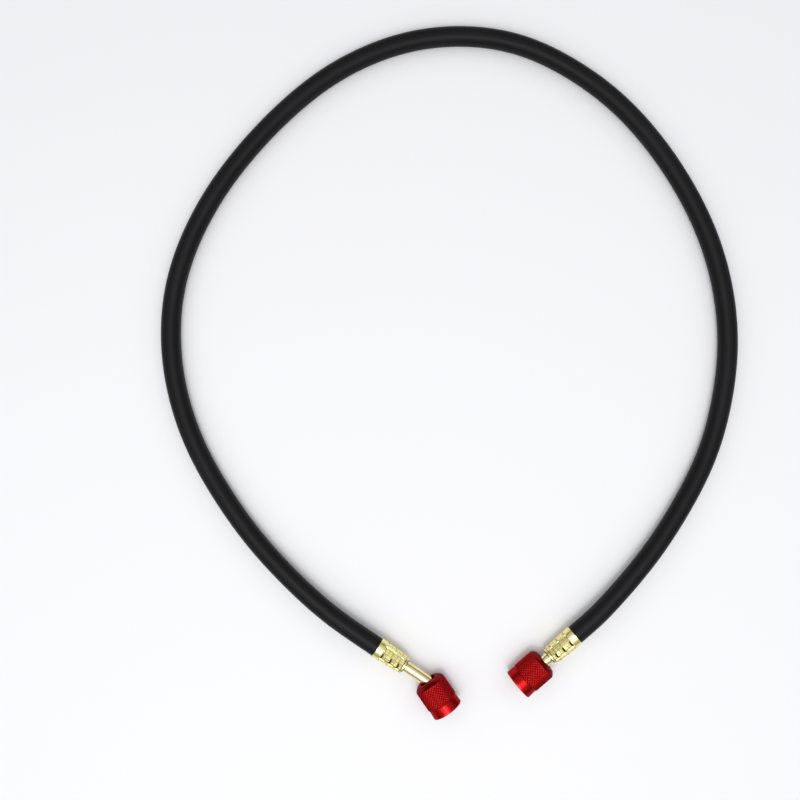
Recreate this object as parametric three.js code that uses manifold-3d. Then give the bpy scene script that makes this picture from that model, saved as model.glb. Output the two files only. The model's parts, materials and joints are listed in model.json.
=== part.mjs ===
// Refrigerant charging hose: a rubber hose with a crimped brass fitting at each end, one bent and one
// straight, each with a knurled aluminium swivel nut. Millimetres, +Z up, lying on the floor at z = 0.
import * as THREE from 'three';
import { mergeVertices } from 'three/addons/utils/BufferGeometryUtils.js';
import Module from 'manifold-3d';

// Clearance between pieces that touch on the real hose
const gap = 0.3;

// Hose
const hoseDiameter = 10;
const hoseBore = 4.8;
const hoseSides = 12;
const boreSides = 8;
const hoseSteps = 48;

// Crimped ferrules
const ferruleLength = 17.2;
const ferruleMouthDiameter = 10.7;
const ferruleWall = 0.6;
const mouthBandLength = 3.4;
const crimpStartDiameter = 10; // across the flats
const crimpEndDiameter = 8.9; // across the flats
const crimpJaws = 8;
const crimpRows = 3;
const crimpGrooveWidth = 0.7;
const crimpGrooveDepth = 0.3;
const frontRingDiameter = 8.8;
const frontRingLength = 1.5;
const frontRingChamfer = 0.4;

// Stems: a barb inside the hose, a tube, and a head that carries the nut
const stemDiameter = 5.8;
const stemBore = 2.6;
const barbReach = 13.5;
const barbRidges = 4;
const barbRidgeHeight = 0.3;
const collarOnStemDiameter = 6.8;
const collarOnStemLength = 1.4;
const headLength = 3.4;
const gasketPocketDepth = 1.4;
const gasketPocketWall = 0.7;

// Swivel nuts
const nutLength = 18;
const nutDiameter = 16.6; // over the knurling
const nutBackFaceDiameter = 12.6;
const nutBackChamfer = 2;
const nutBackWall = 2.6;
const nutHoleDiameter = 8.4;
const threadDiameter = 10; // minor diameter of the female thread
const threadLeadIn = 0.9;
const nutCollarDiameter = 15.8;
const nutCollarLength = 4.8;
const nutCollarStep = 0.3;
const nutLipDiameter = 16.2;
const nutLipLength = 1;
const nutEdge = 0.3;

// Gaskets and the valve core depressor of the bent end
const gasketThickness = 2.4;
const gasketBore = 4.4;
const depressorArms = 3;
const depressorArmWidth = 0.8;
const depressorArmThickness = 1;
const depressorPinDiameter = 1.4;
const depressorProud = 1.8; // pin beyond the gasket's face

// Where each fitting lies: the centre of its ferrule's mouth and the way it points
const bentMouth = [-37.2, 34];
const bentHeading = 285;
const bendAngle = 21.5;
const bendDistance = 14; // from the ferrule's front to the corner of the bend
const bendRadius = 10;
const bendInsideNut = 0.6; // the corner lies this far past the nut's back face
const straightMouth = [42.3, -27];
const straightHeading = 180;
const straightStub = 3.2; // from the ferrule's front to the nut's back face

// Straight run of hose outside each ferrule, before the first bend
const straightRun = 12;

// Route of the hose between the straight runs: x, y, and how far it has climbed
// from lying on the floor (0) to the height of the fittings' axis (1)
const hoseRoute = [
  [-43.5, 58.5, 0.92],
  [-47.5, 86.5, 0.67],
  [-48.5, 115, 0.36],
  [-46, 143.5, 0.11],
  [-40, 171.5, 0.02],
  [-29, 198, 0],
  [-13, 221.5, 0],
  [7.5, 240.5, 0],
  [31.5, 254, 0],
  [56, 262.5, 0],
  [82, 267.5, 0],
  [108.5, 269.5, 0],
  [131, 268.5, 0],
  [153, 264, 0],
  [175.5, 255, 0],
  [198.5, 239, 0],
  [217, 217.5, 0],
  [229, 191.5, 0],
  [235.5, 163.5, 0],
  [236.5, 135, 0],
  [233, 106.5, 0],
  [225.5, 79.5, 0],
  [213.5, 54.5, 0],
  [197, 32, 0],
  [176.5, 13, 0.02],
  [153, -2.5, 0.1],
  [126.5, -13.5, 0.35],
  [97.5, -21.5, 0.67],
  [70.5, -25.7, 0.9],
];

// Heights and lengths worked out from the sizes above
const hoseRadius = hoseDiameter / 2;
const axisHeight = nutDiameter / 2;
const crimpStart = mouthBandLength;
const crimpEnd = ferruleLength - frontRingLength;
const barbDiameter = hoseBore - 2 * gap;
const headDiameter = threadDiameter - 2 * gap;
const pocketDiameter = headDiameter - 2 * gasketPocketWall;
const gasketDiameter = pocketDiameter - 2 * gap;
const shoulder = ferruleLength - frontRingLength; // where the stem meets the hose's end
const hoseEnd = shoulder - gap;
const headFromNutBack = nutBackWall + gap;
const gasketFromHead = headLength - gasketPocketDepth + gap;

const wasm = await Module();
wasm.setup();

// A closed geometry as a solid that can be joined and cut
function toSolid(geometry) {
  const bare = geometry.clone();
  bare.deleteAttribute('normal');
  bare.deleteAttribute('uv');
  const merged = mergeVertices(bare, 1e-5);
  const corners = merged.index.array;
  const kept = [];
  for (let i = 0; i < corners.length; i += 3) {
    const [a, b, c] = corners.slice(i, i + 3);
    if (a !== b && b !== c && c !== a) kept.push(a, b, c);
  }
  const vertProperties = new Float32Array(merged.attributes.position.array);
  return new wasm.Manifold(new wasm.Mesh({ numProp: 3, vertProperties, triVerts: new Uint32Array(kept) }));
}

function toGeometry(solid) {
  const { vertProperties, triVerts } = solid.getMesh();
  const geometry = new THREE.BufferGeometry();
  geometry.setAttribute('position', new THREE.BufferAttribute(vertProperties, 3));
  geometry.setIndex(new THREE.BufferAttribute(triVerts, 1));
  geometry.computeVertexNormals();
  return geometry;
}

// Turned shape about the local Y axis, from a list of [radius, distance along the axis]
function turned(profile, segments) {
  return new THREE.LatheGeometry(profile.map(([r, y]) => new THREE.Vector2(r, y)), segments);
}

// Round bar of the given radius along a curve
function bar(path, radius, sides, steps) {
  const section = new THREE.Shape();
  for (let i = 0; i < sides; i += 1) {
    const angle = (2 * Math.PI * i) / sides;
    const place = i === 0 ? 'moveTo' : 'lineTo';
    section[place](radius * Math.cos(angle), radius * Math.sin(angle));
  }
  section.closePath();
  return new THREE.ExtrudeGeometry(section, { steps, extrudePath: path, bevelEnabled: false });
}

function piece(name, geometry, { color, roughness, metalness }) {
  const mesh = new THREE.Mesh(geometry, new THREE.MeshStandardMaterial({ color, roughness, metalness }));
  mesh.name = name;
  return mesh;
}

const rubber = { color: 0x222325, roughness: 0.55, metalness: 0 };
const yellowBrass = { color: 0xe3cf7a, roughness: 0.3, metalness: 1 };
const redAnodised = { color: 0xa80f16, roughness: 0.38, metalness: 0.8 };
const gasketRubber = { color: 0x17181a, roughness: 0.7, metalness: 0 };

// A fitting's own frame: origin at the ferrule's mouth, +Y out along its axis, away from the hose
function fittingFrame([x, y], heading) {
  const frame = new THREE.Group();
  frame.position.set(x, y, axisHeight);
  frame.rotation.z = THREE.MathUtils.degToRad(heading - 90);
  frame.updateMatrixWorld();
  return frame;
}

const bentEnd = fittingFrame(bentMouth, bentHeading);
const straightEnd = fittingFrame(straightMouth, straightHeading);

// The nut's frame: origin in the middle of its back face, +Y out of its socket
const bentCorner = ferruleLength + bendDistance;
const bentNutFrame = new THREE.Group();
bentNutFrame.rotation.z = THREE.MathUtils.degToRad(-bendAngle);
bentNutFrame.position.set(0, bentCorner, 0);
bentNutFrame.translateY(-bendInsideNut);
bentEnd.add(bentNutFrame);
const straightNutFrame = new THREE.Group();
straightNutFrame.position.set(0, ferruleLength + straightStub, 0);
straightEnd.add(straightNutFrame);
bentEnd.updateMatrixWorld();
straightEnd.updateMatrixWorld();

// Hose

const along = (frame, y) => new THREE.Vector3(0, y, 0).applyMatrix4(frame.matrixWorld);

function hosePath(reach) {
  const climb = axisHeight - hoseRadius;
  const route = hoseRoute.map(([x, y, share]) => new THREE.Vector3(x, y, hoseRadius + share * climb));
  const start = [along(bentEnd, reach), along(bentEnd, -straightRun)];
  const end = [along(straightEnd, -straightRun), along(straightEnd, reach)];
  return new THREE.CatmullRomCurve3([...start, ...route, ...end]);
}

// The end of the hose that the crimp squeezes inside a ferrule
function squeezedEnd(frame) {
  const mouth = ferruleMouthDiameter / 2 - ferruleWall - gap;
  const inner = (across) => across / 2 - crimpGrooveDepth - ferruleWall - gap;
  const profile = [
    [0, -hoseRadius],
    [mouth - gap, -hoseRadius],
    [mouth, 0],
    [mouth, crimpStart - gap],
    [inner(crimpStartDiameter), crimpStart + gap],
    [inner(crimpEndDiameter), hoseEnd],
    [0, hoseEnd],
  ];
  return toSolid(turned(profile, hoseSides * 2).applyMatrix4(frame.matrixWorld));
}

function makeHose() {
  const outside = toSolid(bar(hosePath(-gap), hoseRadius, hoseSides, hoseSteps));
  const bore = toSolid(bar(hosePath(ferruleLength), hoseBore / 2, boreSides, hoseSteps));
  const ends = squeezedEnd(bentEnd).add(squeezedEnd(straightEnd));
  return toGeometry(outside.add(ends).subtract(bore));
}

// Ferrules

function crimpProfile() {
  const flatToCorner = 1 / Math.cos(Math.PI / crimpJaws);
  const rowPitch = (crimpEnd - crimpStart) / crimpRows;
  const radiusAt = (y) => {
    const share = (y - crimpStart) / (crimpEnd - crimpStart);
    return (THREE.MathUtils.lerp(crimpStartDiameter, crimpEndDiameter, share) / 2) * flatToCorner;
  };
  const profile = [[0, crimpStart - gap]];
  for (let row = 0; row < crimpRows; row += 1) {
    const from = crimpStart + row * rowPitch + (row === 0 ? -gap : 0);
    const to = crimpStart + (row + 1) * rowPitch - crimpGrooveWidth;
    profile.push([radiusAt(from), from], [radiusAt(to), to]);
    profile.push([radiusAt(to) - crimpGrooveDepth, to]);
    const next = to + crimpGrooveWidth;
    profile.push([radiusAt(next) - crimpGrooveDepth, next]);
  }
  profile.push([0, crimpEnd]);
  return profile;
}

function makeFerrule() {
  const mouthRadius = ferruleMouthDiameter / 2;
  const ringRadius = frontRingDiameter / 2;
  const inner = (across) => across / 2 - crimpGrooveDepth - ferruleWall;
  const round = 40;
  const band = toSolid(turned([
    [0, 0],
    [mouthRadius, 0],
    [mouthRadius, crimpStart - gap],
    [crimpStartDiameter / 2, crimpStart + gap],
    [0, crimpStart + gap],
  ], round));
  const jaws = toSolid(turned(crimpProfile(), crimpJaws));
  const ring = toSolid(turned([
    [0, crimpEnd - gap],
    [ringRadius, crimpEnd - gap],
    [ringRadius, ferruleLength - frontRingChamfer],
    [ringRadius - frontRingChamfer, ferruleLength],
    [0, ferruleLength],
  ], round));
  const inside = toSolid(turned([
    [0, -gap],
    [mouthRadius - ferruleWall, -gap],
    [mouthRadius - ferruleWall, crimpStart - gap],
    [inner(crimpStartDiameter), crimpStart + gap],
    [inner(crimpEndDiameter), shoulder],
    [stemDiameter / 2 + gap, shoulder],
    [stemDiameter / 2 + gap, ferruleLength + gap],
    [0, ferruleLength + gap],
  ], round));
  return toGeometry(band.add(jaws).add(ring).subtract(inside));
}

// Stems

// The run of a stem's centre line, from a point inside the hose to one beyond its head
function stemPath(corner, nutFrame, from, beyond) {
  const path = new THREE.CurvePath();
  const start = new THREE.Vector3(0, from, 0);
  const end = new THREE.Vector3(0, beyond, 0).applyMatrix4(nutFrame.matrix);
  if (corner === null) {
    path.add(new THREE.LineCurve3(start, end));
    return path;
  }
  const turn = bendRadius * Math.tan(THREE.MathUtils.degToRad(bendAngle / 2));
  const middle = new THREE.Vector3(0, corner, 0);
  const before = middle.clone().setY(corner - turn);
  const after = middle.clone().add(end.clone().sub(middle).setLength(turn));
  path.add(new THREE.LineCurve3(start, before));
  path.add(new THREE.QuadraticBezierCurve3(before, middle, after));
  path.add(new THREE.LineCurve3(after, end));
  return path;
}

function barbProfile() {
  const root = barbDiameter / 2 - barbRidgeHeight;
  const start = shoulder - barbReach;
  const pitch = (barbReach - gap) / barbRidges;
  const profile = [[0, start]];
  for (let ridge = 0; ridge < barbRidges; ridge += 1) {
    const y = start + ridge * pitch;
    profile.push([root, y], [barbDiameter / 2, y + 0.8 * pitch]);
  }
  profile.push([root, shoulder - gap], [root, shoulder + gap], [0, shoulder + gap]);
  return profile;
}

function makeStem(corner, nutFrame, collared) {
  const round = 20;
  const headRadius = headDiameter / 2;
  const pocketFloor = headLength - gasketPocketDepth;
  const tubeSteps = corner === null ? 1 : 18;
  const barb = toSolid(turned(barbProfile(), round));
  const tubePath = stemPath(corner, nutFrame, shoulder, headFromNutBack + pocketFloor / 2);
  const tube = toSolid(bar(tubePath, stemDiameter / 2, round, tubeSteps));
  const headProfile = [
    [0, 0],
    [headRadius, 0],
    [headRadius, headLength],
    [pocketDiameter / 2, headLength],
    [pocketDiameter / 2, pocketFloor],
    [0, pocketFloor],
  ];
  const headPlace = nutFrame.matrix.clone().multiply(new THREE.Matrix4().makeTranslation(0, headFromNutBack, 0));
  const head = toSolid(turned(headProfile, round * 2).applyMatrix4(headPlace));
  let solid = barb.add(tube).add(head);
  if (collared) {
    const from = ferruleLength + gap;
    const radius = collarOnStemDiameter / 2;
    const collar = turned([[0, from], [radius, from], [radius, from + collarOnStemLength],
      [0, from + collarOnStemLength]], round);
    solid = solid.add(toSolid(collar));
  }
  const borePath = stemPath(corner, nutFrame, 0, headFromNutBack + headLength);
  return toGeometry(solid.subtract(toSolid(bar(borePath, stemBore / 2, boreSides, tubeSteps))));
}

// Nuts, gaskets and depressor, each in its nut's frame

function makeNut() {
  const outer = nutDiameter / 2;
  const collar = nutCollarDiameter / 2;
  const lip = nutLipDiameter / 2;
  const hole = nutHoleDiameter / 2;
  const thread = threadDiameter / 2;
  const collarStart = nutLength - nutCollarLength;
  return turned([
    [hole, 0],
    [nutBackFaceDiameter / 2, 0],
    [outer, nutBackChamfer],
    [outer, collarStart - nutCollarStep],
    [collar, collarStart],
    [collar, nutLength - nutLipLength],
    [lip, nutLength - nutEdge],
    [lip - nutEdge, nutLength],
    [thread + threadLeadIn, nutLength],
    [thread, nutLength - threadLeadIn],
    [thread, nutBackWall],
    [hole, nutBackWall],
    [hole, 0],
  ], 48);
}

function makeGasket() {
  const from = headFromNutBack + gasketFromHead;
  const edge = gap;
  return turned([
    [gasketBore / 2, from],
    [gasketDiameter / 2, from],
    [gasketDiameter / 2, from + gasketThickness - edge],
    [gasketDiameter / 2 - edge, from + gasketThickness],
    [gasketBore / 2, from + gasketThickness],
    [gasketBore / 2, from],
  ], 32);
}

function makeDepressor() {
  const from = headFromNutBack + gasketFromHead;
  const reach = gasketBore / 2 - gap;
  const pinRadius = depressorPinDiameter / 2;
  const pinEnd = from + gasketThickness + depressorProud;
  let solid = toSolid(turned([
    [0, from],
    [pinRadius, from],
    [pinRadius, pinEnd - pinRadius / 2],
    [pinRadius / 2, pinEnd],
    [0, pinEnd],
  ], 12));
  for (let arm = 0; arm < depressorArms; arm += 1) {
    const blade = new THREE.BoxGeometry(reach, depressorArmThickness, depressorArmWidth);
    blade.translate(reach / 2, from + depressorArmThickness / 2, 0);
    blade.rotateY((2 * Math.PI * arm) / depressorArms);
    solid = solid.add(toSolid(blade));
  }
  return toGeometry(solid);
}

const chargingHose = new THREE.Group();
chargingHose.add(piece('hose', makeHose(), rubber));

bentEnd.add(piece('ferrule_bent_end', makeFerrule(), yellowBrass));
bentEnd.add(piece('stem_bent_end', makeStem(bentCorner, bentNutFrame, false), yellowBrass));
bentNutFrame.add(piece('nut_bent_end', makeNut(), redAnodised));
bentNutFrame.add(piece('gasket_bent_end', makeGasket(), gasketRubber));
bentNutFrame.add(piece('core_depressor', makeDepressor(), yellowBrass));

straightEnd.add(piece('ferrule_straight_end', makeFerrule(), yellowBrass));
straightEnd.add(piece('stem_straight_end', makeStem(null, straightNutFrame, true), yellowBrass));
straightNutFrame.add(piece('nut_straight_end', makeNut(), redAnodised));
straightNutFrame.add(piece('gasket_straight_end', makeGasket(), gasketRubber));

chargingHose.add(bentEnd, straightEnd);

export default chargingHose;
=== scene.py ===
import json
import math

import bpy
import numpy as np
from mathutils import Matrix, Vector


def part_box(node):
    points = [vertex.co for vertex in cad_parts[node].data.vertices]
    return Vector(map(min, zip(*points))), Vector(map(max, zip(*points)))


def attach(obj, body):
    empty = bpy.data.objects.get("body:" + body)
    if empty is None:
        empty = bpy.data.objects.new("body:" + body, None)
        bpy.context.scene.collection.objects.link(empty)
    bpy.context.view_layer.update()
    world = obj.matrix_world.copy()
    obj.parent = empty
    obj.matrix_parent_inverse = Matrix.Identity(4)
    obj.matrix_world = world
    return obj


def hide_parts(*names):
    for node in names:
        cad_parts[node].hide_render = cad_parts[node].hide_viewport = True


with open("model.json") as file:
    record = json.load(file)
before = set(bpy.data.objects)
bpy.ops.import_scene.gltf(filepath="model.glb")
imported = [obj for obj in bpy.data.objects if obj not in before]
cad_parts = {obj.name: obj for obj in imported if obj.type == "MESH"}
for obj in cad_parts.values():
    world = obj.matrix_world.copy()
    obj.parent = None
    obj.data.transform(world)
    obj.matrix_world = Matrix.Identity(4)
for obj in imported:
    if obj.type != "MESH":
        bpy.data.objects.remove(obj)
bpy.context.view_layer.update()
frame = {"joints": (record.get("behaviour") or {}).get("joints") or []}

# A refrigerant charging hose with a bent and a straight fitting, lying on a pale floor. Metres.
mm = 0.001
print("frame loaded")


# Camera: straight down, turned so that the hose lies as in the photograph

cameraView = {
    "over": (53.37 * mm, 120.44 * mm),  # floor point in the middle of the picture
    "height": 525 * mm,
    "turn": -41,  # degrees
    "lens": 46.06,
    "sensor": 36,
}


def addCamera(view):
    data = bpy.data.cameras.new("camera")
    data.lens = view["lens"]
    data.sensor_width = view["sensor"]
    data.clip_start = 0.01
    camera = bpy.data.objects.new("camera", data)
    camera.location = (*view["over"], view["height"])
    camera.rotation_euler = (0, 0, math.radians(view["turn"]))
    bpy.context.scene.collection.objects.link(camera)
    bpy.context.scene.camera = camera


addCamera(cameraView)


# Shader maths

class Wire:
    # an output of a shader node; sums of wires and numbers add Math nodes
    def __init__(self, finish, socket):
        self.finish = finish
        self.socket = socket

    def maths(self, operation, first, second):
        return self.finish.node("Math", {"operation": operation}, {0: first, 1: second})

    def __add__(self, other):
        return self.maths("ADD", self, other)

    def __radd__(self, other):
        return self.maths("ADD", other, self)

    def __sub__(self, other):
        return self.maths("SUBTRACT", self, other)

    def __rsub__(self, other):
        return self.maths("SUBTRACT", other, self)

    def __mul__(self, other):
        return self.maths("MULTIPLY", self, other)

    def __rmul__(self, other):
        return self.maths("MULTIPLY", other, self)


class Finish:
    # the node tree of a material or of the world
    def __init__(self, owner):
        owner.use_nodes = True
        self.owner = owner
        self.tree = owner.node_tree
        self.tree.nodes.clear()

    def node(self, kind, settings, inputs, output=0):
        made = self.tree.nodes.new("ShaderNode" + kind)
        for name, value in settings.items():
            setattr(made, name, value)
        for name, value in inputs.items():
            if isinstance(value, Wire):
                self.tree.links.new(value.socket, made.inputs[name])
            else:
                made.inputs[name].default_value = value
        return Wire(self, made.outputs[output]) if len(made.outputs) else None

    def place(self):
        return self.node("TexCoord", {}, {}, "Object")

    def mark(self, name, output="Fac"):  # a value kept on the mesh's points
        return self.node("Attribute", {"attribute_name": name}, {}, output)

    def noise(self, where, scale, detail, stretch=(1, 1, 1)):
        stretched = self.node("VectorMath", {"operation": "MULTIPLY"}, {0: where, 1: stretch})
        return self.node("TexNoise", {}, {"Vector": stretched, "Scale": scale, "Detail": detail})

    def rise(self, value, low, high):  # 0 below low, 1 above high
        ends = {"Value": value, "From Min": low, "From Max": high}
        return self.node("MapRange", {"interpolation_type": "SMOOTHSTEP"}, ends)

    def blend(self, share, first, second):
        return self.node("Mix", {"data_type": "RGBA"}, {0: share, 6: first, 7: second}, 2)

    def bump(self, height, distance, strength):
        return self.node("Bump", {}, {"Height": height, "Distance": distance, "Strength": strength})

    def surface(self, inputs):
        shader = self.node("BsdfPrincipled", {}, inputs)
        self.node("OutputMaterial", {}, {"Surface": shader})
        return self.owner


# Finishes

def hoseRubber():
    look = {
        "black": (0.0032, 0.0032, 0.004, 1),
        "dusty": (0.007, 0.007, 0.0085, 1),
        "roughness": 0.40,
        "gloss": 0.18,
        "patchScale": 70,
        "patchStretch": (1, 1, 0.35),
        "streakScale": 1500,
        "streakStretch": (1, 1, 0.02),  # drawn out by extrusion
        "grainScale": 3800,
        "relief": 0.05 * mm,
    }
    finish = Finish(bpy.data.materials.new("hoseRubber"))
    along = finish.mark("straightened", "Vector")  # so that nothing swims round the bends
    patches = finish.noise(along, look["patchScale"], 4, look["patchStretch"])
    streaks = finish.noise(along, look["streakScale"], 3, look["streakStretch"])
    grain = finish.noise(along, look["grainScale"], 2)
    dust = finish.rise(patches, 0.42, 0.75) * 0.7 + finish.rise(streaks, 0.5, 0.8) * 0.3
    return finish.surface({
        "Base Color": finish.blend(dust, look["black"], look["dusty"]),
        "Roughness": look["roughness"] + patches * 0.12 + streaks * 0.08,
        "Specular IOR Level": look["gloss"],
        "Normal": finish.bump(streaks * 0.6 + grain * 0.4, look["relief"], 0.5),
    })


def ferruleBrass():
    look = {
        "bright": (0.90, 0.81, 0.37, 1),
        "olive": (0.34, 0.275, 0.055, 1),
        # near-black painted shade for the deepest crevices
        "creviceShade": (0.02, 0.016, 0.003, 1),
        "roughness": 0.23,
        "cloudScale": 420,
        "drawnScale": 2600,
        "drawnStretch": (1, 0.06, 1),  # fine marks along the fitting
        "shadeDepths": (0.32, 0.62),  # how deep a crevice is where the near-black painted shade starts, and where it is full
        "relief": 0.05 * mm,
    }
    finish = Finish(bpy.data.materials.new("ferruleBrass"))
    place = finish.place()
    crevice = finish.mark("crevice")
    cloud = finish.noise(place, look["cloudScale"], 4)
    drawn = finish.noise(place, look["drawnScale"], 3, look["drawnStretch"])
    # the cloud share is random patchy tone; the crevice share is painted shade, olive in the crevices
    darkening = finish.rise(cloud, 0.48, 0.75) * 0.3 + finish.rise(crevice, 0.05, 0.6) * 0.7
    brass = finish.blend(darkening, look["bright"], look["olive"])
    return finish.surface({
        # the deepest crevices get near-black painted shade
        "Base Color": finish.blend(finish.rise(crevice, *look["shadeDepths"]), brass, look["creviceShade"]),
        "Metallic": 1.0,
        "Roughness": look["roughness"] + cloud * 0.14 + crevice * 0.25,
        "Normal": finish.bump(drawn * 0.6 + cloud * 0.4, look["relief"], 0.5),
    })


def stemBrass():
    look = {
        "bright": (0.93, 0.79, 0.43, 1),
        "brown": (0.48, 0.32, 0.10, 1),
        "roughness": 0.14,
        "cloudScale": 350,
        "turningScale": 3200,
        "turningStretch": (0.05, 1, 0.05),  # lathe marks round the axis
        "relief": 0.02 * mm,
    }
    finish = Finish(bpy.data.materials.new("stemBrass"))
    place = finish.place()
    cloud = finish.noise(place, look["cloudScale"], 3)
    turning = finish.noise(place, look["turningScale"], 3, look["turningStretch"])
    darkening = finish.rise(cloud, 0.45, 0.85) * 0.35
    return finish.surface({
        "Base Color": finish.blend(darkening, look["bright"], look["brown"]),
        "Metallic": 1.0,
        "Roughness": look["roughness"] + cloud * 0.10 + turning * 0.06,
        "Normal": finish.bump(turning, look["relief"], 0.35),
    })


def redAnodised():
    look = {
        "red": (0.44, 0.0025, 0.003, 1),
        # dark red, for random tone and for painted shade in the knurl grooves
        "dark": (0.17, 0.001, 0.0015, 1),
        # colour of the painted shade on the back chamfer
        "maroon": (0.075, 0.003, 0.008, 1),
        "worn": (0.78, 0.07, 0.065, 1),
        "roughness": 0.26,
        "sideTint": (0.30, 0.01, 0.01, 1),  # keeps the sides from turning pale
        "coat": 0.15,
        "coatRoughness": 0.18,
        "cloudScale": 260,
        "turningScale": 4200,
        "turningStretch": (0, 1, 0),  # tool marks round the nut
        "chamferShade": 0.62,  # painted shade darkens the chamfer toward maroon
        "wear": 0.5,
        "relief": 0.03 * mm,
    }
    finish = Finish(bpy.data.materials.new("redAnodised"))
    place = finish.place()
    groove = finish.mark("groove")
    edge = finish.mark("edge")
    cloud = finish.noise(place, look["cloudScale"], 4)
    turning = finish.noise(place, look["turningScale"], 2, look["turningStretch"])
    # random tone of the red, and painted shade darkening the knurl grooves
    dyeAndShade = finish.blend(groove * 0.35 + cloud * 0.2, look["red"], look["dark"])
    # painted shade darkens the back chamfer toward maroon
    dyeAndShade = finish.blend(finish.mark("chamfer") * look["chamferShade"], dyeAndShade, look["maroon"])
    rubbed = edge * (1 - groove) * finish.rise(cloud, 0.35, 0.7) * look["wear"]
    return finish.surface({
        "Base Color": finish.blend(rubbed, dyeAndShade, look["worn"]),
        "Metallic": 1.0,
        "Roughness": look["roughness"] + cloud * 0.10 + groove * 0.12,
        "Normal": finish.bump(turning * 0.7 + cloud * 0.3, look["relief"], 0.3),
        "Specular Tint": look["sideTint"],
        "Coat Weight": look["coat"],
        "Coat Roughness": look["coatRoughness"],
    })


def gasketRubber():
    look = {
        "black": (0.010, 0.010, 0.011, 1),
        "grey": (0.022, 0.022, 0.023, 1),
        "roughness": 0.55,
        "cloudScale": 700,
        "grainScale": 4000,
        "relief": 0.03 * mm,
    }
    finish = Finish(bpy.data.materials.new("gasketRubber"))
    place = finish.place()
    cloud = finish.noise(place, look["cloudScale"], 4)
    grain = finish.noise(place, look["grainScale"], 2)
    return finish.surface({
        "Base Color": finish.blend(finish.rise(cloud, 0.4, 0.7), look["black"], look["grey"]),
        "Roughness": look["roughness"] + cloud * 0.2,
        "Normal": finish.bump(grain, look["relief"], 0.5),
    })


finishes = {
    "hose_rubber": hoseRubber(),
    "ferrule_brass": ferruleBrass(),
    "stem_brass": stemBrass(),
    "nut_red_anodised": redAnodised(),
    "gasket_rubber": gasketRubber(),
}
print("finishes made")


# Meshes made of rings of points

def ringAngles(sides):
    return np.arange(sides) * 2 * np.pi / sides


def easy(value, low, high):  # a soft step from 0 at low to 1 at high
    share = np.clip((value - low) / (high - low), 0, 1)
    return share * share * (3 - 2 * share)


def turned(radii, along, angles):
    # rings round the Y axis; radii may differ round a ring
    radii, along, angles = np.broadcast_arrays(radii, along, angles)
    return np.stack([radii * np.cos(angles), along, radii * np.sin(angles)], axis=-1)


def softened(corners, steps=4):
    # a section of (radius, along, rounding), with each corner rounded off
    line = []
    for place, (radius, along, rounding) in enumerate(corners):
        here = Vector((radius, along))
        if rounding == 0:
            line.append(here)
            continue
        back = Vector(corners[place - 1][:2]) - here
        ahead = Vector(corners[(place + 1) % len(corners)][:2]) - here
        reach = rounding / math.tan(back.angle(ahead) / 2)
        start, end = here + back.normalized() * reach, here + ahead.normalized() * reach
        for step in range(steps + 1):
            share = step / steps
            line.append(start.lerp(here, share).lerp(here.lerp(end, share), share))
    return np.array([tuple(point) for point in line])


def skin(name, rings, marks=None, sharp=40, valley=None, capped=False):
    # joins the rings with faces that look outwards, and closes the ends by caps
    # or by joining the last ring to the first
    rows, sides = rings.shape[:2]
    here = np.arange(rows * sides).reshape(rows, sides)
    ahead = np.roll(here, -1, axis=0)
    a, b, c, d = here, ahead, np.roll(ahead, -1, axis=1), np.roll(here, -1, axis=1)
    a, b, c, d = (corner[:rows - capped].ravel() for corner in (a, b, c, d))
    if valley is None:
        faces = np.stack([a, b, c, d], axis=-1).tolist()
    else:  # each quad is cut along its deeper diagonal, so that a groove stays sharp
        deep = valley.ravel()
        fold = (deep[a] + deep[c] >= deep[b] + deep[d])[:, None]
        first = np.where(fold, np.stack([a, b, c], -1), np.stack([a, b, d], -1))
        second = np.where(fold, np.stack([a, c, d], -1), np.stack([b, c, d], -1))
        faces = np.concatenate([first, second]).tolist()
    if capped:
        faces += [here[0].tolist(), here[-1, ::-1].tolist()]
    mesh = bpy.data.meshes.new(name)
    mesh.from_pydata(rings.reshape(-1, 3).tolist(), [], faces)
    for mark, values in (marks or {}).items():
        kind, field = ("FLOAT_VECTOR", "vector") if values.ndim == 3 else ("FLOAT", "value")
        mesh.attributes.new(mark, kind, "POINT").data.foreach_set(field, values.astype(np.float32).ravel())
    mesh.shade_smooth()
    mesh.set_sharp_from_angle(angle=math.radians(sharp))
    piece = bpy.data.objects.new(name, mesh)
    bpy.context.scene.collection.objects.link(piece)
    return piece


def dress(piece, node, slot, body):
    # the piece stands for that node, with its slot's finish, and rides on that body
    piece.data.materials.clear()
    piece.data.materials.append(finishes[slot])
    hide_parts(node)
    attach(piece, body)
    return piece


# Where the fittings lie: the middle of each ferrule's mouth, and the way out of it

fittingPlaces = {
    "bentEnd": {"mouth": (-37.2 * mm, 34 * mm), "heading": 285},
    "straightEnd": {"mouth": (42.3 * mm, -27 * mm), "heading": 180},
}
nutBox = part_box("nut_straight_end")
axisHeight = (nutBox[0].z + nutBox[1].z) / 2


def outward(heading):
    return Vector((math.cos(math.radians(heading)), math.sin(math.radians(heading)), 0))


def frameAt(start, axis):  # +Y along the axis and +Z up
    matrix = Matrix.Translation(start)
    return matrix @ Matrix.Rotation(math.atan2(-axis.x, axis.y), 4, "Z")


fittingFrames = {
    end: frameAt(Vector((*place["mouth"], axisHeight)), outward(place["heading"]))
    for end, place in fittingPlaces.items()
}


# Hose

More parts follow.
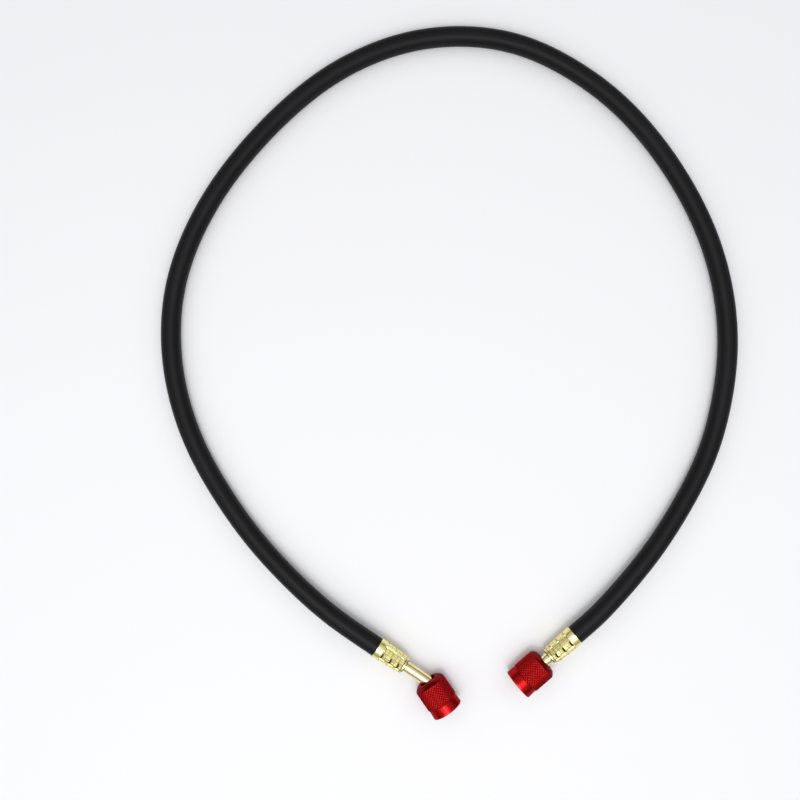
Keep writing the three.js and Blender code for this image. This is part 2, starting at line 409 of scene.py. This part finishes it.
hose = {
    "radius": 5 * mm,
    "bore": 2.4 * mm,
    "sides": 48,
    "end": 15.4 * mm,  # how far the hose goes into a ferrule
    "straightRun": 12 * mm,
    "step": 2.4 * mm,
    "fineStep": 0.4 * mm,
    "length": 0.858,  # of the rubber, with what the ferrules hide
    # distance from a ferrule's mouth and the hose's radius there, in mm
    "squeezed": [(-0.7, 5), (0, 4.97), (0.5, 4.8), (1.2, 4.5), (3.4, 4.45), (4.3, 3.8), (15.4, 3.25)],
    # x and y, and how far it has climbed from the floor (0) to the fittings' axis (1)
    "route": [
        (-0.0435, 0.0585, 0.92),
        (-0.0475, 0.0865, 0.67),
        (-0.0485, 0.115, 0.36),
        (-0.046, 0.1435, 0.11),
        (-0.04, 0.1715, 0.02),
        (-0.029, 0.198, 0),
        (-0.013, 0.2215, 0),
        (0.0075, 0.2405, 0),
        (0.0315, 0.254, 0),
        (0.056, 0.2625, 0),
        (0.082, 0.2675, 0),
        (0.1085, 0.2695, 0),
        (0.131, 0.2685, 0),
        (0.153, 0.264, 0),
        (0.1755, 0.255, 0),
        (0.1985, 0.239, 0),
        (0.217, 0.2175, 0),
        (0.229, 0.1915, 0),
        (0.2355, 0.1635, 0),
        (0.2365, 0.135, 0),
        (0.233, 0.1065, 0),
        (0.2255, 0.0795, 0),
        (0.2135, 0.0545, 0),
        (0.197, 0.032, 0),
        (0.1765, 0.013, 0.02),
        (0.153, -0.0025, 0.1),
        (0.1265, -0.0135, 0.35),
        (0.0975, -0.0215, 0.67),
        (0.0705, -0.0257, 0.9),
    ],
}


def smoothLine(points, first, last, step):
    # a curve of even bend through the points, with those directions at its ends
    points = np.array(points)
    gaps = np.linalg.norm(np.diff(points, axis=0), axis=1)
    table = np.eye(len(points))
    aims = np.zeros_like(points)
    aims[0], aims[-1] = first, last
    for i in range(1, len(points) - 1):
        back, ahead = gaps[i - 1], gaps[i]
        table[i, i - 1:i + 2] = 1 / back, 2 / back + 2 / ahead, 1 / ahead
        aims[i] = 3 * (points[i] - points[i - 1]) / back**2 + 3 * (points[i + 1] - points[i]) / ahead**2
    slopes = np.linalg.solve(table, aims)
    line = []
    for i, gap in enumerate(gaps):
        t = np.arange(0, 1, step / gap)[:, None]
        line.append((2 * t**3 - 3 * t**2 + 1) * points[i] + (3 * t**2 - 2 * t**3) * points[i + 1]
                    + gap * ((t**3 - 2 * t**2 + t) * slopes[i] + (t**3 - t**2) * slopes[i + 1]))
    return np.concatenate([*line, points[-1:]])


def onAxis(end, along):  # a point of a fitting's axis, by its distance from the ferrule's mouth
    return tuple(fittingFrames[end] @ Vector((0, along, 0)))


def hoseCentres():
    # the middle of each ring of the hose, and its distance along the hose
    climb = axisHeight - hose["radius"]
    route = [(x, y, hose["radius"] + share * climb) for x, y, share in hose["route"]]
    bentStart = [onAxis("bentEnd", 0), onAxis("bentEnd", -hose["straightRun"])]
    straightStart = [onAxis("straightEnd", -hose["straightRun"]), onAxis("straightEnd", 0)]
    first = -outward(fittingPlaces["bentEnd"]["heading"])
    last = outward(fittingPlaces["straightEnd"]["heading"])
    free = smoothLine(bentStart + route + straightStart, first, last, hose["fineStep"] / 2)
    line = np.concatenate([[onAxis("bentEnd", hose["end"])], free, [onAxis("straightEnd", hose["end"])]])
    run = np.concatenate([[0], np.cumsum(np.linalg.norm(np.diff(line, axis=0), axis=1))])
    # even steps, finer where the hose goes into a ferrule
    nearEnd = np.arange(0, hose["end"] + 2 * mm, hose["fineStep"])
    middle = np.linspace(nearEnd[-1], run[-1] - nearEnd[-1], round(run[-1] / hose["step"]))
    stations = np.concatenate([nearEnd[:-1], middle, run[-1] - nearEnd[-2::-1]])
    centres = np.stack([np.interp(stations, run, line[:, axis]) for axis in range(3)], axis=-1)
    return stations, centres


def makeHose():
    stations, centres = hoseCentres()
    ahead = np.gradient(centres, axis=0)
    ahead /= np.linalg.norm(ahead, axis=1)[:, None]
    side = np.cross(ahead, (0, 0, 1))
    side /= np.linalg.norm(side, axis=1)[:, None]
    over = np.cross(side, ahead)
    angles = ringAngles(hose["sides"])
    spokes = side[:, None] * np.cos(angles)[:, None] + over[:, None] * np.sin(angles)[:, None]
    depth = hose["end"] - np.minimum(stations, stations[-1] - stations)  # inside a ferrule where above 0
    at, squeezed = np.array(hose["squeezed"]).T * mm
    radii = np.interp(depth, at, squeezed)
    outside = centres[:, None] + radii[:, None, None] * spokes
    inside = centres[:, None] + hose["bore"] * spokes
    straight = np.stack(np.broadcast_arrays(
        hose["radius"] * np.cos(angles), hose["radius"] * np.sin(angles), stations[:, None]), axis=-1)
    rings = np.concatenate([outside, inside[::-1]])
    marks = {"straightened": np.concatenate([straight, straight[::-1]])}
    return skin("hoseTube", rings, marks), centres


hoseTube, hosePath = makeHose()
dress(hoseTube, "hose", "hose_rubber", "hose_assembly")
print("hose laid, ring centres:", len(hosePath))


# Ferrules: a plain band at the mouth, and the marks that eight crimping jaws leave in three rows

ferrule = {
    "mouthRadius": 5.4 * mm,
    "bandRadius": 5.2 * mm,  # where the plain band ends
    "bandLength": 4 * mm,
    "rows": (4 * mm, 8.6 * mm, 13.2 * mm),
    "rowPitch": 4.6 * mm,
    "crimpEnd": 15.6 * mm,
    "crimpRamp": 0.4 * mm,  # how quickly a jaw's mark sinks in behind the band
    "startRadius": 4.98 * mm,  # of the jaws' marks, where the crimp starts and ends
    "endRadius": 4.52 * mm,
    "flatness": 0.4,  # of a jaw's mark: 0 is round, 1 is flat
    "jaws": 8,
    "sidesPerJaw": 32,
    "tongue": 1.4 * mm,  # how much earlier the crimp starts between two jaws
    "pinch": 0.1 * mm,  # height of the ridge between two jaws
    # widths and places across a jaw's mark, as shares of it
    "ridgeWidth": 0.07,
    "columnWidth": 0.05,
    "slitSides": (0.38, 0.46),  # a slit fades out between these, on both sides of its middle
    "wall": 0.15 * mm,  # how steeply a slit drops
    "slit": 0.55 * mm,
    "slitFade": 1.0 * mm,
    "slitBow": 0.45 * mm,
    "brick": 0.13 * mm,  # depth of the lesser lines, across and along a jaw's mark
    "brickFade": 0.35 * mm,
    "uneven": 0.085 * mm,
    "shift": 0.22 * mm,
    "lightBite": (0.2, 0.5),  # the first jaw bites deepest, and the others this much of it
    "ringRadius": 4.5 * mm,
    "ringGroove": 0.22 * mm,
    "ringGrooveWidth": 0.14 * mm,
    "ringEnd": 16.75 * mm,
    "mouthEdge": 0.1 * mm,  # left for the rounding at each end
    "frontEdge": 0.2 * mm,
    "shades": {"ridge": 0.3, "column": 0.35, "lesser": 0.4, "ring": 0.75},  # how strongly painted shade darkens each crevice
    # the inside gets painted shade this far from the mouth, and within this radius
    "hollowFrom": (0.5 * mm, 1 * mm),
    "hollowRadius": 4.2 * mm,
    "hollowFade": 0.4 * mm,
    "step": 0.1 * mm,
    "turns": {"bentEnd": 70, "straightEnd": 101},  # degrees to the first jaw's middle
    # front face, hub and inside back to the mouth: radius, along and rounding, in mm
    "inside": [
        (4.5, 16.75, 0.16), (3.75, 16.75, 0), (3.6, 17.15, 0.08), (3.2, 17.15, 0), (3.2, 15.7, 0),
        (3.55, 15.7, 0), (4.1, 4.3, 0), (4.72, 3.7, 0), (4.8, 1, 0.2), (5.08, 0.1, 0.05), (5.25, 0, 0.05),
    ],
}


def hill(value, width):  # 1 at 0, fading to both sides
    return np.exp(-(value / width) ** 2)


def bite(past, fade):  # a steep wall at 0, and a slope that comes back up behind it
    return easy(past, -ferrule["wall"], 0) * np.exp(-np.maximum(past, 0) / fade)


def crimped(along, angles, turn, draws):
    # radius of the outside, and how deep in a crevice each point lies, which sets its painted shade
    jaw = (angles - math.radians(turn)) * ferrule["jaws"] / (2 * np.pi)
    number = np.round(jaw).astype(int) % ferrule["jaws"]
    phase = jaw - np.round(jaw)  # 0 in the middle of a jaw's mark, 0.5 half way to the next
    half = (phase > 0).astype(int)
    row = sum((along > place).astype(int) for place in ferrule["rows"][1:])
    start = ferrule["bandLength"] - ferrule["tongue"] * np.abs(2 * phase) ** 3
    into = easy(along, start, start + ferrule["crimpRamp"])
    between = hill(0.5 - np.abs(phase), ferrule["ridgeWidth"])

    share = np.clip((along - ferrule["bandLength"]) / (ferrule["crimpEnd"] - ferrule["bandLength"]), 0, 1)
    jawRadius = ferrule["startRadius"] + (ferrule["endRadius"] - ferrule["startRadius"]) * share
    flat = jawRadius * (1 + ferrule["flatness"] * (1 / np.cos(phase * 2 * np.pi / ferrule["jaws"]) - 1))
    mark = flat + ferrule["pinch"] * between + ferrule["uneven"] * draws["uneven"][number, row, half]
    taper = (ferrule["bandRadius"] - ferrule["mouthRadius"]) * along / ferrule["bandLength"]
    radius = (ferrule["mouthRadius"] + taper) * (1 - into) + mark * into

    shades = ferrule["shades"]
    column = hill(phase, ferrule["columnWidth"]) * into
    radius = radius - ferrule["brick"] * 0.6 * column
    crevice = np.maximum(shades["ridge"] * between, shades["column"] * column) * into
    wide = 1 - easy(np.abs(phase), *ferrule["slitSides"])
    for index, place in enumerate(ferrule["rows"]):
        past = along - place - ferrule["shift"] * draws["shift"][number, index]
        slit = wide * bite(past + ferrule["slitBow"] * (2 * phase) ** 2, ferrule["slitFade"])
        depth = draws["bite"][number]
        radius = radius - ferrule["slit"] * (0.4 + 0.6 * depth) * slit
        crevice = np.maximum(crevice, slit * (0.15 + 0.85 * depth))
        lesser = past - ferrule["rowPitch"] / 2 - ferrule["shift"] * draws["brick"][number, index, half]
        line = wide * bite(lesser, ferrule["brickFade"]) * (along < ferrule["crimpEnd"] - 0.3 * mm)
        radius = radius - ferrule["brick"] * line
        crevice = np.maximum(crevice, shades["lesser"] * line)

    ring = easy(along, ferrule["crimpEnd"] - 0.1 * mm, ferrule["crimpEnd"])
    groove = hill(along - ferrule["crimpEnd"], ferrule["ringGrooveWidth"])
    radius = radius * (1 - ring) + ferrule["ringRadius"] * ring - ferrule["ringGroove"] * groove
    return radius, np.maximum(crevice * (1 - ring), groove * shades["ring"])


def makeFerrule(name, end, node, draws):
    angles = ringAngles(ferrule["jaws"] * ferrule["sidesPerJaw"])
    along = np.arange(ferrule["mouthEdge"], ferrule["ringEnd"] - ferrule["frontEdge"], ferrule["step"])
    along = along[:, None]
    radius, crevice = crimped(along, angles, ferrule["turns"][end], draws)
    plain = softened([(r * mm, y * mm, soft * mm) for r, y, soft in ferrule["inside"]])
    rings = np.concatenate([
        turned(radius, along, angles),
        turned(plain[:, :1], plain[:, 1:], angles),
    ])
    # painted shade inside the ferrule, on the hub and on the inner walls away from the mouth
    inward = easy(ferrule["hollowRadius"] - plain[:, 0], 0, ferrule["hollowFade"])
    hollow = easy(plain[:, 1], *ferrule["hollowFrom"]) * inward
    marks = {"crevice": np.concatenate([crevice, np.repeat(hollow[:, None], len(angles), axis=1)])}
    piece = skin(name, rings, marks, sharp=50)
    piece.matrix_world = fittingFrames[end]
    return dress(piece, node, "ferrule_brass", "hose_assembly")


def crimpDraws(chance):  # what differs from jaw to jaw
    jaws, rows = ferrule["jaws"], len(ferrule["rows"])
    return {
        "uneven": chance.uniform(-1, 1, (jaws, rows, 2)),
        "shift": chance.uniform(-1, 1, (jaws, rows)),
        "brick": chance.uniform(-1, 1, (jaws, rows, 2)),
        "bite": np.concatenate([[1], chance.uniform(*ferrule["lightBite"], jaws - 1)]),
    }


chance = np.random.default_rng(11)
ferrules = {
    "bentEnd": makeFerrule("ferruleBentEnd", "bentEnd", "ferrule_bent_end", crimpDraws(chance)),
    "straightEnd": makeFerrule(
        "ferruleStraightEnd", "straightEnd", "ferrule_straight_end", crimpDraws(chance)),
}
print("ferrules crimped")


# Swivel nuts: diamond knurling, a smooth flared collar, and a threaded socket

nut = {
    "length": 18 * mm,
    "radius": 8.3 * mm,
    "backFace": 6.1 * mm,
    "chamfer": 2.5 * mm,
    "chamferBulge": 1.5,  # 1 is a plain cone
    "chamferFade": 0.5 * mm,  # over which the chamfer's painted shade ends
    "backEdge": 0.1 * mm,  # left for the rounding at the back face
    "collarEdge": (8.1 * mm, 17.75 * mm),
    "rubbed": (0.15 * mm, 0.5 * mm),  # wear at an edge is full up to the first, and ends at the second
    "diamonds": 36,  # round the nut
    "diamondHeight": 1.6 * mm,
    "samples": 8,  # across and along each diamond
    "knurlDepth": 0.3 * mm,
    "knurlTop": 0.8,  # tips are cut off at this share of their height
    "knurlEnd": 12.7 * mm,
    # notch, collar, front face and lead-in: radius, along and rounding, in mm
    "front": [
        (8.0, 12.95, 0), (7.65, 13.05, 0.1), (7.82, 13.5, 0.12), (8.05, 17, 0.3), (8.1, 17.75, 0.12),
        (7.85, 18, 0.08), (6.1, 18, 0.15), (5.62, 17.45, 0),
    ],
    # back wall, hole and back face, as above
    "back": [
        (5.0, 6.9, 0), (5.0, 2.6, 0), (4.2, 2.6, 0.15), (4.2, 0.1, 0), (4.32, 0, 0.04), (6.0, 0, 0),
    ],
    "threadStart": 17.4 * mm,
    "threadEnd": 7.1 * mm,
    "threadRadius": 5 * mm,
    "threadDepth": 0.55 * mm,
    "threadCrest": 0.25,  # shares of half a pitch
    "threadFlank": 0.62,
    "leadIn": 0.6 * mm,
    "pitch": 1.27 * mm,
    "threadSamples": 10,
}


def knurled(along, angles):
    # outside of the gripping part, and how deep in a groove each point lies
    turns = angles * nut["diamonds"] / (2 * np.pi)
    rise = along / nut["diamondHeight"]

    def tooth(value):
        return 1 - 2 * np.abs(value - np.round(value))

    height = np.minimum(1 - tooth(turns + rise + 0.5), 1 - tooth(turns - rise + 0.5))
    height = np.minimum(height / nut["knurlTop"], 1)
    return nut["radius"] - nut["knurlDepth"] * (1 - height), 1 - height


def chamfered(along):  # radius that the back chamfer leaves
    share = np.clip(along / nut["chamfer"], 0, 1)
    return nut["backFace"] + (nut["radius"] - nut["backFace"]) * (1 - (1 - share) ** nut["chamferBulge"])


def threaded(along, angles):
    turns = along / nut["pitch"] - angles / (2 * np.pi)
    wave = np.abs(turns - np.round(turns)) * 2
    depth = np.clip((wave - nut["threadCrest"]) / nut["threadFlank"], 0, 1)
    fade = easy(along, nut["threadEnd"], nut["threadEnd"] + nut["pitch"])
    radius = nut["threadRadius"] + nut["threadDepth"] * depth * fade
    return np.maximum(radius, nut["threadRadius"] + along - (nut["threadStart"] - nut["leadIn"]))


def makeNut(name, joint, node, body):
    # a section runs along the outside, round the front face, and back through the socket
    angles = ringAngles(nut["diamonds"] * nut["samples"])
    step = nut["diamondHeight"] / nut["samples"]
    along = np.arange(nut["backEdge"], nut["knurlEnd"] + step, step)[:, None]
    grip, groove = knurled(along, angles)
    radius = np.minimum(np.minimum(grip, chamfered(along)), nut["radius"] + nut["knurlEnd"] - along)
    groove = groove * (radius > grip - 0.05 * mm)
    front = softened([(r * mm, y * mm, soft * mm) for r, y, soft in nut["front"]])
    back = softened([(r * mm, y * mm, soft * mm) for r, y, soft in nut["back"]])
    screw = np.arange(nut["threadStart"], nut["threadEnd"], -nut["pitch"] / nut["threadSamples"])[:, None]
    rings = np.concatenate([
        turned(radius, along, angles),
        turned(front[:, :1], front[:, 1:], angles),
        turned(threaded(screw, angles), screw, angles),
        turned(back[:, :1], back[:, 1:], angles),
    ])
    # marks: how deep in a groove and whether on the chamfer, which set painted shade, and how near an outer
    # edge that hands rub
    chamfer = 1 - easy(along, nut["chamfer"] - nut["chamferFade"], nut["chamfer"])
    chamfer = chamfer * np.ones_like(groove)
    unmarked = ((0, len(rings) - len(along)), (0, 0))
    groove, chamfer = np.pad(groove, unmarked), np.pad(chamfer, unmarked)
    ringRadius, ringAlong = np.hypot(rings[..., 0], rings[..., 2]), rings[..., 1]
    edge = np.zeros_like(groove)
    for edgeRadius, edgeAlong in ((nut["radius"], nut["chamfer"]), (nut["backFace"], 0), nut["collarEdge"]):
        away = np.hypot(ringRadius - edgeRadius, ringAlong - edgeAlong)
        edge = np.maximum(edge, 1 - easy(away, *nut["rubbed"]))
    piece = skin(name, rings, {"groove": groove, "chamfer": chamfer, "edge": edge}, sharp=28, valley=groove)
    axis = Vector(joint["axis"]).normalized()
    piece.matrix_world = frameAt(Vector(joint["pos_m"]) - axis * nut["length"] / 2, axis)
    return dress(piece, node, "nut_red_anodised", body)


joints = {joint["name"]: joint for joint in frame["joints"]}
nuts = {
    "bentEnd": makeNut("nutBentEnd", joints["bent_nut_swivel"], "nut_bent_end", "bent_end_nut"),
    "straightEnd": makeNut(
        "nutStraightEnd", joints["straight_nut_swivel"], "nut_straight_end", "straight_end_nut"),
}
nutFrames = {end: piece.matrix_world.copy() for end, piece in nuts.items()}
print("nuts knurled")


# Stems: a barb in the hose, a tube that may bend, and a head with a pocket for the gasket

stem = {
    "sides": 48,
    "radius": 2.87 * mm,
    "bore": 1.3 * mm,
    "bendRadius": 10 * mm,
    "bendSteps": 24,
    "barbStart": 2.2 * mm,
    "shoulder": 15.7 * mm,
    "barbRidges": 4,
    "barbGap": 0.3 * mm,  # between the last ridge and the shoulder
    "barbTip": 2.1 * mm,
    "barbRoot": 1.8 * mm,
    "headStart": 2.9 * mm,  # from the nut's back face
    "headRadius": 4.7 * mm,
    "headLength": 3.4 * mm,
    "pocketRadius": 4 * mm,
    "pocketDepth": 1.4 * mm,
    "collarStart": 17.5 * mm,
    "collarRadius": 3.07 * mm,
    "collarLength": 1.4 * mm,
}


def stemBend(end):
    # where the bend starts and ends along the stem, its angle, and where the nut's back face is
    toNut = fittingFrames[end].inverted() @ nutFrames[end]
    nutBack, way = toNut.translation, toNut.to_3x3() @ Vector((0, 1, 0))
    angle = math.atan2(way.x, way.y)
    corner = Vector((0, nutBack.y - way.y * nutBack.x / way.x, 0))  # where the two axes meet
    tangent = stem["bendRadius"] * math.tan(abs(angle) / 2)
    start = corner.y - tangent
    stop = start + stem["bendRadius"] * abs(angle)
    return (start, stop, angle), stop + (nutBack - corner).dot(way) - tangent


def barbSection():  # from the stem's hose end to its shoulder
    pitch = (stem["shoulder"] - stem["barbStart"] - stem["barbGap"]) / stem["barbRidges"]
    section = []
    for ridge in range(stem["barbRidges"]):
        place = stem["barbStart"] + ridge * pitch
        section += [(stem["barbRoot"], place, 0), (stem["barbTip"], place + 0.8 * pitch, 0)]
    return section + [(stem["barbRoot"], stem["shoulder"], 0), (stem["radius"], stem["shoulder"], 0.1 * mm)]


def collarSection():
    start, stop = stem["collarStart"], stem["collarStart"] + stem["collarLength"]
    return [
        (stem["radius"], start, 0),
        (stem["collarRadius"], start, 0.1 * mm),
        (stem["collarRadius"], stop, 0.1 * mm),
        (stem["radius"], stop, 0),
    ]


def headSection(nutBack):  # the head that the nut turns on, and its pocket, down to the bore
    head = nutBack + stem["headStart"]
    front = head + stem["headLength"]
    pocketFloor = front - stem["pocketDepth"]
    return [
        (stem["radius"], head, 0.3 * mm),
        (stem["headRadius"], head, 0.2 * mm),
        (stem["headRadius"], front, 0.2 * mm),
        (stem["pocketRadius"], front, 0.15 * mm),
        (stem["pocketRadius"], pocketFloor, 0.1 * mm),
        (stem["bore"], pocketFloor, 0.15 * mm),
    ]


def bentRings(radii, along, bend):
    # rings round the stem's axis, which runs along +Y, round the bend and straight on
    start, stop, angle = bend
    turning = np.clip((along - start) / (stop - start), 0, 1)[:, None] * angle
    bendRadius = (stop - start) / angle
    after = np.maximum(along - stop, 0)[:, None]
    flat = turned(radii[:, None], 0, ringAngles(stem["sides"]))
    x = bendRadius * (1 - np.cos(turning)) + after * np.sin(turning) + flat[..., 0] * np.cos(turning)
    y = np.minimum(along, start)[:, None] + bendRadius * np.sin(turning)
    y = y + after * np.cos(turning) - flat[..., 0] * np.sin(turning)
    return np.stack([x, y, flat[..., 2]], axis=-1)


def makeStem(name, end, node, bent):
    boreStart = (stem["bore"], stem["barbStart"], 0.1 * mm)
    if bent:
        bend, nutBack = stemBend(end)
        stations = np.linspace(*bend[:2], stem["bendSteps"])
        outside = [(stem["radius"], y, 0) for y in stations]
        bore = [(stem["bore"], y, 0) for y in stations[::-1]]
        section = softened([boreStart, *barbSection(), *outside, *headSection(nutBack), *bore])
        rings = bentRings(*section.T, bend)
    else:
        nutBack = (fittingFrames[end].inverted() @ nutFrames[end]).translation.y
        section = softened([boreStart, *barbSection(), *collarSection(), *headSection(nutBack)])
        rings = turned(section[:, :1], section[:, 1:], ringAngles(stem["sides"]))
    piece = skin(name, rings, sharp=35)
    piece.matrix_world = fittingFrames[end]
    return dress(piece, node, "stem_brass", "hose_assembly")


stems = {
    "bentEnd": makeStem("stemBentEnd", "bentEnd", "stem_bent_end", bent=True),
    "straightEnd": makeStem("stemStraightEnd", "straightEnd", "stem_straight_end", bent=False),
}
print("stems made")


# Gaskets, and the depressor that opens the valve core

gasket = {
    "start": 5.2 * mm,  # from the nut's back face
    "thickness": 2.4 * mm,
    "bore": 2.2 * mm,
    "radius": 3.7 * mm,
    "rounding": 0.45 * mm,
    "sides": 48,
}
depressor = {
    "start": 5.2 * mm,
    "pinRadius": 0.7 * mm,
    "pinEnd": 9.4 * mm,
    "pinTip": 0.35 * mm,
    "pinSides": 24,
    "armLength": 1.9 * mm,
    "armThickness": 1 * mm,
    "armWidth": 0.8 * mm,
    "arms": 3,
    "edge": 0.06 * mm,
}


def makeGasket(name, end, node):
    start, stop, soft = gasket["start"], gasket["start"] + gasket["thickness"], gasket["rounding"]
    section = softened([
        (gasket["bore"], start, soft),
        (gasket["radius"], start, soft / 2),
        (gasket["radius"], stop, soft),
        (gasket["bore"], stop, soft),
    ], 6)
    piece = skin(name, turned(section[:, :1], section[:, 1:], ringAngles(gasket["sides"])), sharp=60)
    piece.matrix_world = nutFrames[end]
    return dress(piece, node, "gasket_rubber", "hose_assembly")


def settle(piece):  # applies the piece's modifiers
    evaluated = piece.evaluated_get(bpy.context.evaluated_depsgraph_get())
    mesh = bpy.data.meshes.new_from_object(evaluated)
    piece.modifiers.clear()
    piece.data = mesh


def joinTo(piece, other):
    union = piece.modifiers.new("union", "BOOLEAN")
    union.operation, union.object, union.solver = "UNION", other, "EXACT"
    settle(piece)
    bpy.data.objects.remove(other)


def makeArm(number):  # a bar that runs out from the axis
    length, thick, half = depressor["armLength"], depressor["armThickness"], depressor["armWidth"] / 2
    spin = Matrix.Rotation(2 * math.pi * number / depressor["arms"], 4, "Y")
    lift = Matrix.Translation((0, depressor["start"], 0))
    section = ((0, -half), (0, half), (thick, half), (thick, -half))
    corners = [[(x, y, z) for y, z in section] for x in (0, length)]
    rings = np.array([[tuple(spin @ lift @ Vector(corner)) for corner in ring] for ring in corners])
    return skin("arm", rings, capped=True)


def makeDepressor():
    tip = depressor["pinTip"]
    section = softened([
        (tip, depressor["start"], 0),
        (depressor["pinRadius"], depressor["start"], 0.08 * mm),
        (depressor["pinRadius"], depressor["pinEnd"], 0.3 * mm),
        (tip, depressor["pinEnd"], 0),
    ])
    rings = turned(section[:, :1], section[:, 1:], ringAngles(depressor["pinSides"]))
    piece = skin("coreDepressor", rings, capped=True)
    for number in range(depressor["arms"]):
        joinTo(piece, makeArm(number))
    bevel = piece.modifiers.new("edges", "BEVEL")
    bevel.width, bevel.segments, bevel.limit_method = depressor["edge"], 2, "ANGLE"
    settle(piece)
    piece.data.shade_smooth()
    piece.data.set_sharp_from_angle(angle=math.radians(40))
    piece.matrix_world = nutFrames["bentEnd"]
    return dress(piece, "core_depressor", "stem_brass", "hose_assembly")


gaskets = {
    "bentEnd": makeGasket("gasketBentEnd", "bentEnd", "gasket_bent_end"),
    "straightEnd": makeGasket("gasketStraightEnd", "straightEnd", "gasket_straight_end"),
}
makeDepressor()
print("gaskets and depressor set")


# Floor and light

stage = {
    "floorSize": 60,
    "floor": (0.90, 0.904, 0.915, 1),
    "mottle": (0.8, 0.8, 0.82, 1),
    "mottleScale": 40,
    "mottleShare": 0.04,
    "horizon": (0.50, 0.50, 0.515, 1),
    "band": (0.09, 0.09, 0.095, 1),  # dark, a little above the horizon, for the metals to reflect
    "zenith": (0.745, 0.745, 0.76, 1),
    # heights, as the sine of the angle, between which one colour gives way to the next
    "toBand": (0.07, 0.17),
    "toZenith": (0.12, 0.75),
}
lights = {
    "overhead": {"at": (-0.14, -0.11, 1.0), "aim": (0.03, 0.06, 0), "size": (0.7, 0.7), "power": 4.2},
    "spark": {"at": (-0.12, -0.09, 1.0), "aim": (0.03, 0.06, 0), "size": (0.12, 0.12), "power": 1.0},
    "side": {"at": (-0.75, 0.35, 0.8), "aim": (0.05, 0.1, 0), "size": (0.2, 0.8), "power": 0.6},
}


def addFloor():
    half = stage["floorSize"] / 2
    mesh = bpy.data.meshes.new("floor")
    corners = [(-half, -half, 0), (half, -half, 0), (half, half, 0), (-half, half, 0)]
    mesh.from_pydata(corners, [], [(0, 1, 2, 3)])
    floor = bpy.data.objects.new("floor", mesh)
    bpy.context.scene.collection.objects.link(floor)
    finish = Finish(bpy.data.materials.new("paleFloor"))
    mottle = finish.noise(finish.place(), stage["mottleScale"], 3) * stage["mottleShare"]
    mesh.materials.append(finish.surface({
        "Base Color": finish.blend(mottle, stage["floor"], stage["mottle"]),
        "Roughness": 0.9,
        "Specular IOR Level": 0.1,
    }))


def addLight(name, light):
    data = bpy.data.lights.new(name, "AREA")
    data.shape = "RECTANGLE"
    data.size, data.size_y = light["size"]
    data.energy = light["power"]
    lamp = bpy.data.objects.new(name, data)
    lamp.location = light["at"]
    aim = Vector(light["aim"]) - Vector(light["at"])
    lamp.rotation_euler = aim.to_track_quat("-Z", "Y").to_euler()
    bpy.context.scene.collection.objects.link(lamp)


def lightWorld():
    world = bpy.data.worlds.new("studio")
    bpy.context.scene.world = world
    finish = Finish(world)
    way = finish.node("TexCoord", {}, {}, "Generated")
    height = finish.node("SeparateXYZ", {}, {0: way}, "Z")
    low = finish.blend(finish.rise(height, *stage["toBand"]), stage["horizon"], stage["band"])
    colour = finish.blend(finish.rise(height, *stage["toZenith"]), low, stage["zenith"])
    back = finish.node("Background", {}, {"Color": colour, "Strength": 1.0})
    finish.node("OutputWorld", {}, {"Surface": back})


addFloor()
for name, light in lights.items():
    addLight(name, light)
lightWorld()
bpy.context.scene.view_settings.view_transform = "Standard"
print("floor and light set")
